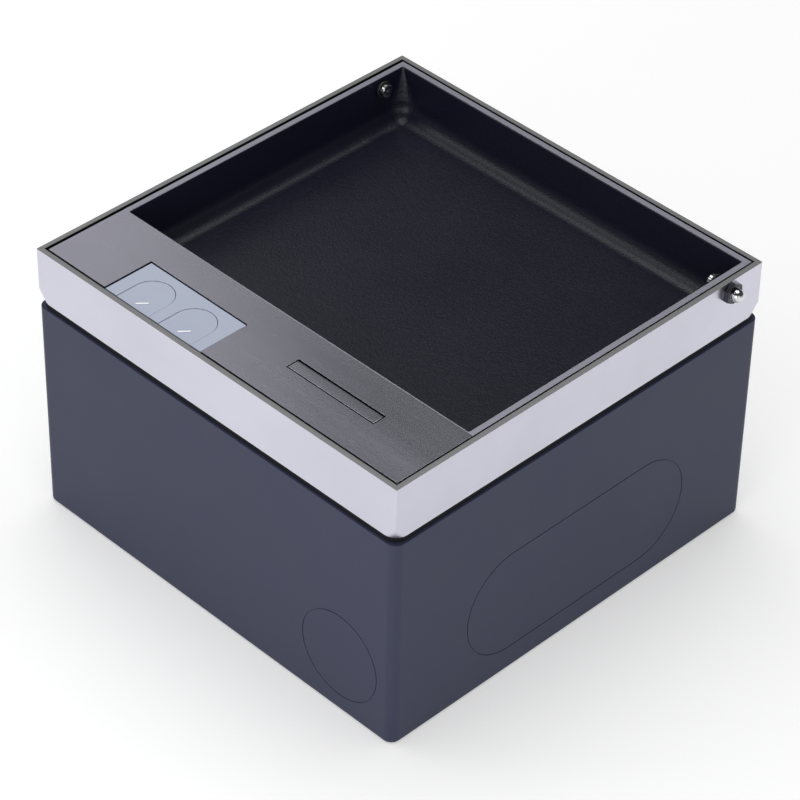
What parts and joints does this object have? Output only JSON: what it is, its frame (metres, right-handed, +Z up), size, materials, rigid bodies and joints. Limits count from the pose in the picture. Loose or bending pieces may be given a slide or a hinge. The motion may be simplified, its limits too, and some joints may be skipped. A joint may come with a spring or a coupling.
{
  "type": "floor socket box",
  "caption": "Square flush floor socket box: hinged tray lid with cable flaps and pull handle, steel frame, moulded back box with socket modules.",
  "frame": {"origin": "middle of the back box underside, which stands on the slab", "axes": "+Z up, +Y towards the hinge side, -Y the side of the cable outlet strip, +X right, along the hinge axis"},
  "size_m": [0.256, 0.242, 0.1525],
  "materials": {
    "box_plastic": "fine-textured moulded plastic, dark slate",
    "gasket_rubber": "matte black rubber",
    "frame_steel": "satin stainless steel, finely ground",
    "plate_steel": "zinc-plated sheet steel",
    "screw_steel": "zinc-plated screw",
    "pad_rubber": "soft black rubber",
    "lid_steel": "satin stainless steel, ground along the strip",
    "tray_paint": "black leather-grain powder coat",
    "bush_nylon": "natural nylon",
    "hinge_steel": "bright polished steel",
    "outlet_plastic": "blue-grey moulded plastic",
    "housing_plastic": "black moulded plastic",
    "module_plastic": "white moulded plastic",
    "data_plastic": "pale grey moulded plastic",
    "earth_brass": "bare brass"
  },
  "bodies": {
    "floor_box": {"back_box": "box_plastic", "base_screws": "screw_steel", "box_gasket": "gasket_rubber", "cap_nut_left": "hinge_steel", "cap_nut_right": "hinge_steel", "data_socket_left": "data_plastic", "data_socket_right": "data_plastic", "device_plate": "plate_steel", "device_screws": "screw_steel", "earth_nuts": "earth_brass", "earth_stud": "earth_brass", "frame_base": "plate_steel", "frame_skirt": "frame_steel", "hinge_screw_left": "hinge_steel", "hinge_screw_right": "hinge_steel", "lid_rests": "plate_steel", "power_socket_left": "module_plastic", "power_socket_right": "module_plastic", "rest_pads": "pad_rubber", "seat_strips": "pad_rubber"},
    "lid": {"lid_frame": "lid_steel", "lid_tray": "tray_paint", "tray_screws": "screw_steel", "hinge_bush_left": "bush_nylon", "hinge_bush_right": "bush_nylon", "outlet_body": "outlet_plastic", "outlet_screws": "screw_steel", "handle_pin": "hinge_steel", "handle_housing": "housing_plastic", "housing_screws": "screw_steel"},
    "handle": {"pull_handle": "lid_steel"},
    "cable_flap_left": {"flap_left": "outlet_plastic"},
    "cable_flap_right": {"flap_right": "outlet_plastic"}
  },
  "joints": [
    {"name": "lid_hinge", "type": "hinge", "parent": "floor_box", "child": "lid", "pos_m": [0, 0.0975, 0.1469], "axis": [-1, 0, 0], "range_deg": [0, 145]},
    {"name": "handle_pivot", "type": "hinge", "parent": "lid", "child": "handle", "pos_m": [0.0528, -0.0898, 0.151], "axis": [-1, 0, 0], "range_deg": [0, 90]},
    {"name": "flap_left_pivot", "type": "hinge", "parent": "lid", "child": "cable_flap_left", "pos_m": [-0.05605, -0.1033, 0.1513], "axis": [-1, 0, 0], "range_deg": [0, 90]},
    {"name": "flap_right_pivot", "type": "hinge", "parent": "lid", "child": "cable_flap_right", "pos_m": [-0.02735, -0.1033, 0.1513], "axis": [-1, 0, 0], "range_deg": [0, 90]}
  ]
}
